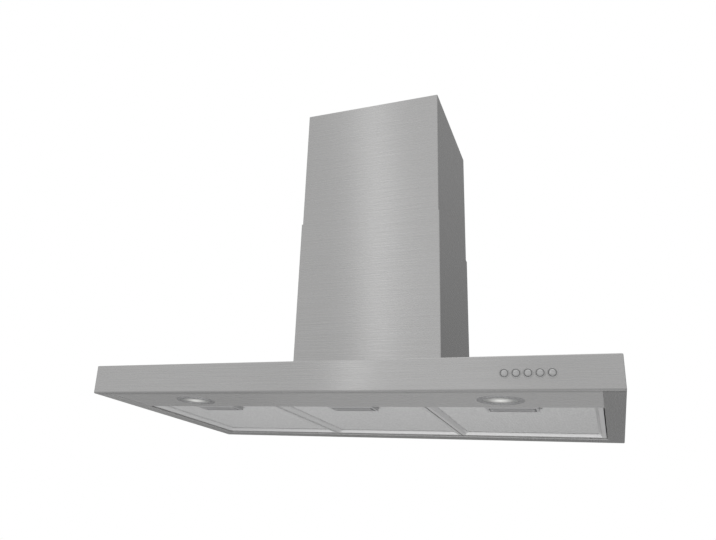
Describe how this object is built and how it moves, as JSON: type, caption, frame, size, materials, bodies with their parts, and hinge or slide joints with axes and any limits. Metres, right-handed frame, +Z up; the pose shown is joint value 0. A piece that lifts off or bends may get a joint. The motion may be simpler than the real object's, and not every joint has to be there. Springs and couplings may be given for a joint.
{
  "type": "range hood",
  "caption": "Wall-mounted range hood with a flat box canopy, drop-down mesh filters, a light strip, push buttons and a telescopic chimney.",
  "frame": {"origin": "on the wall plane, under the middle of the hood, level with the canopy's lowest face", "axes": "+X to the right seen from the front, +Y into the wall, +Z up; the front faces -Y"},
  "size_m": [0.9, 0.5526, 0.688],
  "materials": {
    "brushed_steel": "brushed",
    "zinc_steel": "galvanised",
    "shaft_steel": "turned",
    "black_plastic": "moulded",
    "board": "lacquered",
    "motor_paint": "satin",
    "capacitor_white": "smooth",
    "chrome_trim": "polished",
    "lens_glass": "frosted",
    "bulb_glass": "clear",
    "light_can": "spun",
    "filter_aluminium": "natural",
    "latch_grey": "moulded",
    "button_metal": "satin"
  },
  "bodies": {
    "hood": {"canopy_shell": "brushed_steel", "light_strip": "brushed_steel", "light_transformer": "black_plastic", "blower_box": "zinc_steel", "outlet_plate": "zinc_steel", "outlet_collar": "zinc_steel", "flap_pin": "shaft_steel", "scroll_front": "black_plastic", "scroll_rear": "black_plastic", "outlet_neck": "black_plastic", "motor_can": "motor_paint", "motor_bracket": "zinc_steel", "run_capacitor": "capacitor_white", "capacitor_clip": "zinc_steel", "terminal_box": "black_plastic", "terminal_cover": "black_plastic", "cable_gland": "black_plastic", "chimney_lower_cover": "brushed_steel", "switch_housing": "black_plastic", "switch_board": "board", "button_rings": "chrome_trim", "box_screws": "shaft_steel", "collar_screws": "shaft_steel", "strip_screws": "shaft_steel", "light_trim_left": "chrome_trim", "light_lens_left": "lens_glass", "light_can_left": "light_can", "light_bulb_left": "bulb_glass", "light_trim_right": "chrome_trim", "light_lens_right": "lens_glass", "light_can_right": "light_can", "light_bulb_right": "bulb_glass"},
    "fan": {"impeller": "zinc_steel", "motor_shaft": "shaft_steel", "wheel_nut": "shaft_steel"},
    "upper_chimney": {"chimney_upper_cover": "brushed_steel", "chimney_bracket": "zinc_steel", "bracket_screws": "shaft_steel"},
    "flap_left": {"backdraft_flap_left": "zinc_steel"},
    "flap_right": {"backdraft_flap_right": "zinc_steel"},
    "filter_left": {"filter_frame_left": "filter_aluminium", "filter_mesh_left": "filter_aluminium", "latch_housing_left": "latch_grey", "latch_spring_left": "shaft_steel"},
    "latch_left": {"latch_slider_left": "latch_grey"},
    "filter_middle": {"filter_frame_middle": "filter_aluminium", "filter_mesh_middle": "filter_aluminium", "latch_housing_middle": "latch_grey", "latch_spring_middle": "shaft_steel"},
    "latch_middle": {"latch_slider_middle": "latch_grey"},
    "filter_right": {"filter_frame_right": "filter_aluminium", "filter_mesh_right": "filter_aluminium", "latch_housing_right": "latch_grey", "latch_spring_right": "shaft_steel"},
    "latch_right": {"latch_slider_right": "latch_grey"},
    "button_1": {"push_button_1": "button_metal"},
    "button_2": {"push_button_2": "button_metal"},
    "button_3": {"push_button_3": "button_metal"},
    "button_4": {"push_button_4": "button_metal"},
    "button_5": {"push_button_5": "button_metal"}
  },
  "joints": [
    {"name": "upper_chimney_slide", "type": "slide", "parent": "hood", "child": "upper_chimney", "axis": [0, 0, 1], "range_m": [-0.274, 0.022]},
    {"name": "fan_spin", "type": "hinge", "parent": "hood", "child": "fan", "pos_m": [-0.03094, -0.14, 0.15913], "axis": [0, -1, 0], "continuous": true},
    {"name": "flap_left_swing", "type": "hinge", "parent": "hood", "child": "flap_left", "pos_m": [0, -0.14, 0.2984], "axis": [0, 1, 0], "range_deg": [0, 75]},
    {"name": "flap_right_swing", "type": "hinge", "parent": "hood", "child": "flap_right", "pos_m": [0, -0.14, 0.2984], "axis": [0, -1, 0], "range_deg": [0, 75]},
    {"name": "filter_left_swing", "type": "hinge", "parent": "hood", "child": "filter_left", "pos_m": [0, -0.0444, 0.0021], "axis": [1, 0, 0], "range_deg": [0, 60]},
    {"name": "latch_left_slide", "type": "slide", "parent": "filter_left", "child": "latch_left", "axis": [0, 1, 0], "range_m": [0, 0.008], "stiffness_N_per_m": 300, "springref_m": -0.004, "deforming": ["latch_spring_left"]},
    {"name": "filter_middle_swing", "type": "hinge", "parent": "hood", "child": "filter_middle", "pos_m": [0, -0.0444, 0.0021], "axis": [1, 0, 0], "range_deg": [0, 60]},
    {"name": "latch_middle_slide", "type": "slide", "parent": "filter_middle", "child": "latch_middle", "axis": [0, 1, 0], "range_m": [0, 0.008], "stiffness_N_per_m": 300, "springref_m": -0.004, "deforming": ["latch_spring_middle"]},
    {"name": "filter_right_swing", "type": "hinge", "parent": "hood", "child": "filter_right", "pos_m": [0, -0.0444, 0.0021], "axis": [1, 0, 0], "range_deg": [0, 60]},
    {"name": "latch_right_slide", "type": "slide", "parent": "filter_right", "child": "latch_right", "axis": [0, 1, 0], "range_m": [0, 0.008], "stiffness_N_per_m": 300, "springref_m": -0.004, "deforming": ["latch_spring_right"]},
    {"name": "button_1_push", "type": "slide", "parent": "hood", "child": "button_1", "axis": [0, 1, 0], "range_m": [0, 0.002], "stiffness_N_per_m": 600, "springref_m": -0.001},
    {"name": "button_2_push", "type": "slide", "parent": "hood", "child": "button_2", "axis": [0, 1, 0], "range_m": [0, 0.002], "stiffness_N_per_m": 600, "springref_m": -0.001},
    {"name": "button_3_push", "type": "slide", "parent": "hood", "child": "button_3", "axis": [0, 1, 0], "range_m": [0, 0.002], "stiffness_N_per_m": 600, "springref_m": -0.001},
    {"name": "button_4_push", "type": "slide", "parent": "hood", "child": "button_4", "axis": [0, 1, 0], "range_m": [0, 0.002], "stiffness_N_per_m": 600, "springref_m": -0.001},
    {"name": "button_5_push", "type": "slide", "parent": "hood", "child": "button_5", "axis": [0, 1, 0], "range_m": [0, 0.002], "stiffness_N_per_m": 600, "springref_m": -0.001}
  ]
}
